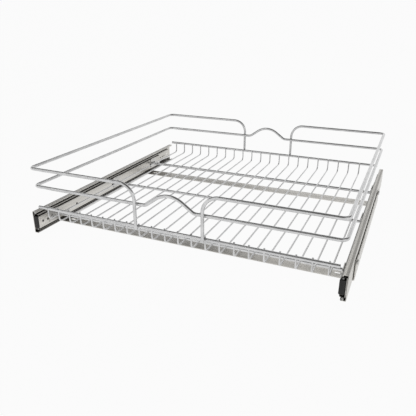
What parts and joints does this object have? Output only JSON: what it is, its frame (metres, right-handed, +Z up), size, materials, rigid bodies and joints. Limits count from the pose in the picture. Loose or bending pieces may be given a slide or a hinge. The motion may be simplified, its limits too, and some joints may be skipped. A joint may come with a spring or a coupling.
{
  "type": "pull out cabinet basket",
  "caption": "Pull out cabinet basket of welded wire with a two level guard rail, carried on two full extension ball bearing slides joined by floor strips.",
  "frame": {"origin": "centre of the base at the cabinet floor: bottom centre of the bounding box", "axes": "+X right seen from the front of the cabinet, -Y the way the basket pulls out, +Z up"},
  "size_m": [0.6088, 0.564, 0.138],
  "materials": {
    "bright_wire": "bright plated round wire",
    "slide_zinc": "satin zinc plated, rolled lengthways",
    "hanger_steel": "satin zinc plated",
    "screw_zinc": "bright zinc plated",
    "retainer_steel": "plain steel with grease",
    "ball_steel": "polished steel balls",
    "galvanised_strip": "galvanised, warm grey",
    "black_plastic": "moulded, satin",
    "white_nylon": "natural nylon"
  },
  "bodies": {
    "cabinet_frame": {"front_crossmember": "galvanised_strip", "rear_crossmember": "galvanised_strip", "left_side_angle": "galvanised_strip", "right_side_angle": "galvanised_strip", "left_cabinet_member": "slide_zinc", "right_cabinet_member": "slide_zinc", "slide_rivets": "screw_zinc", "outer_race_buffers": "white_nylon"},
    "basket": {"middle_rail": "bright_wire", "left_upper_rail": "bright_wire", "right_upper_rail": "bright_wire", "front_rim_wire": "bright_wire", "back_rim_wire": "bright_wire", "front_cross_wire": "bright_wire", "middle_cross_wire": "bright_wire", "rear_cross_wire": "bright_wire", "floor_wire_01": "bright_wire", "floor_wire_02": "bright_wire", "floor_wire_03": "bright_wire", "floor_wire_04": "bright_wire", "floor_wire_05": "bright_wire", "floor_wire_06": "bright_wire", "floor_wire_07": "bright_wire", "floor_wire_08": "bright_wire", "floor_wire_09": "bright_wire", "floor_wire_10": "bright_wire", "floor_wire_11": "bright_wire", "floor_wire_12": "bright_wire", "floor_wire_13": "bright_wire", "floor_wire_14": "bright_wire", "floor_wire_15": "bright_wire", "floor_wire_16": "bright_wire", "floor_wire_17": "bright_wire", "floor_wire_18": "bright_wire", "floor_wire_19": "bright_wire", "floor_wire_20": "bright_wire", "floor_wire_21": "bright_wire", "floor_wire_22": "bright_wire", "left_front_hanger_plate": "hanger_steel", "right_front_hanger_plate": "hanger_steel", "left_middle_hanger_plate": "hanger_steel", "right_middle_hanger_plate": "hanger_steel", "left_rear_hanger_plate": "hanger_steel", "right_rear_hanger_plate": "hanger_steel", "hanger_screws": "screw_zinc", "left_drawer_member": "slide_zinc", "right_drawer_member": "slide_zinc", "left_front_bumper": "black_plastic", "right_front_bumper": "black_plastic", "inner_race_buffers": "white_nylon"},
    "left_intermediate": {"left_intermediate_member": "slide_zinc"},
    "left_outer_balls_body": {"left_outer_ball_retainer": "retainer_steel", "left_outer_balls": "ball_steel"},
    "left_inner_balls_body": {"left_inner_ball_retainer": "retainer_steel", "left_inner_balls": "ball_steel"},
    "right_intermediate": {"right_intermediate_member": "slide_zinc"},
    "right_outer_balls_body": {"right_outer_ball_retainer": "retainer_steel", "right_outer_balls": "ball_steel"},
    "right_inner_balls_body": {"right_inner_ball_retainer": "retainer_steel", "right_inner_balls": "ball_steel"}
  },
  "joints": [
    {"name": "basket_slide", "type": "slide", "parent": "cabinet_frame", "child": "basket", "axis": [0, -1, 0], "range_m": [0, 0.55]},
    {"name": "left_intermediate_slide", "type": "slide", "parent": "cabinet_frame", "child": "left_intermediate", "axis": [0, -1, 0], "range_m": [0, 0.275]},
    {"name": "left_outer_retainer_slide", "type": "slide", "parent": "cabinet_frame", "child": "left_outer_balls_body", "axis": [0, -1, 0], "range_m": [0, 0.1375]},
    {"name": "left_inner_retainer_slide", "type": "slide", "parent": "cabinet_frame", "child": "left_inner_balls_body", "axis": [0, -1, 0], "range_m": [0, 0.4125]},
    {"name": "right_intermediate_slide", "type": "slide", "parent": "cabinet_frame", "child": "right_intermediate", "axis": [0, -1, 0], "range_m": [0, 0.275]},
    {"name": "right_outer_retainer_slide", "type": "slide", "parent": "cabinet_frame", "child": "right_outer_balls_body", "axis": [0, -1, 0], "range_m": [0, 0.1375]},
    {"name": "right_inner_retainer_slide", "type": "slide", "parent": "cabinet_frame", "child": "right_inner_balls_body", "axis": [0, -1, 0], "range_m": [0, 0.4125]}
  ],
  "couplings": [
    {"joint": "left_intermediate_slide", "follows": "basket_slide", "ratio": 0.5},
    {"joint": "left_outer_retainer_slide", "follows": "basket_slide", "ratio": 0.25},
    {"joint": "left_inner_retainer_slide", "follows": "basket_slide", "ratio": 0.75},
    {"joint": "right_intermediate_slide", "follows": "basket_slide", "ratio": 0.5},
    {"joint": "right_outer_retainer_slide", "follows": "basket_slide", "ratio": 0.25},
    {"joint": "right_inner_retainer_slide", "follows": "basket_slide", "ratio": 0.75}
  ]
}
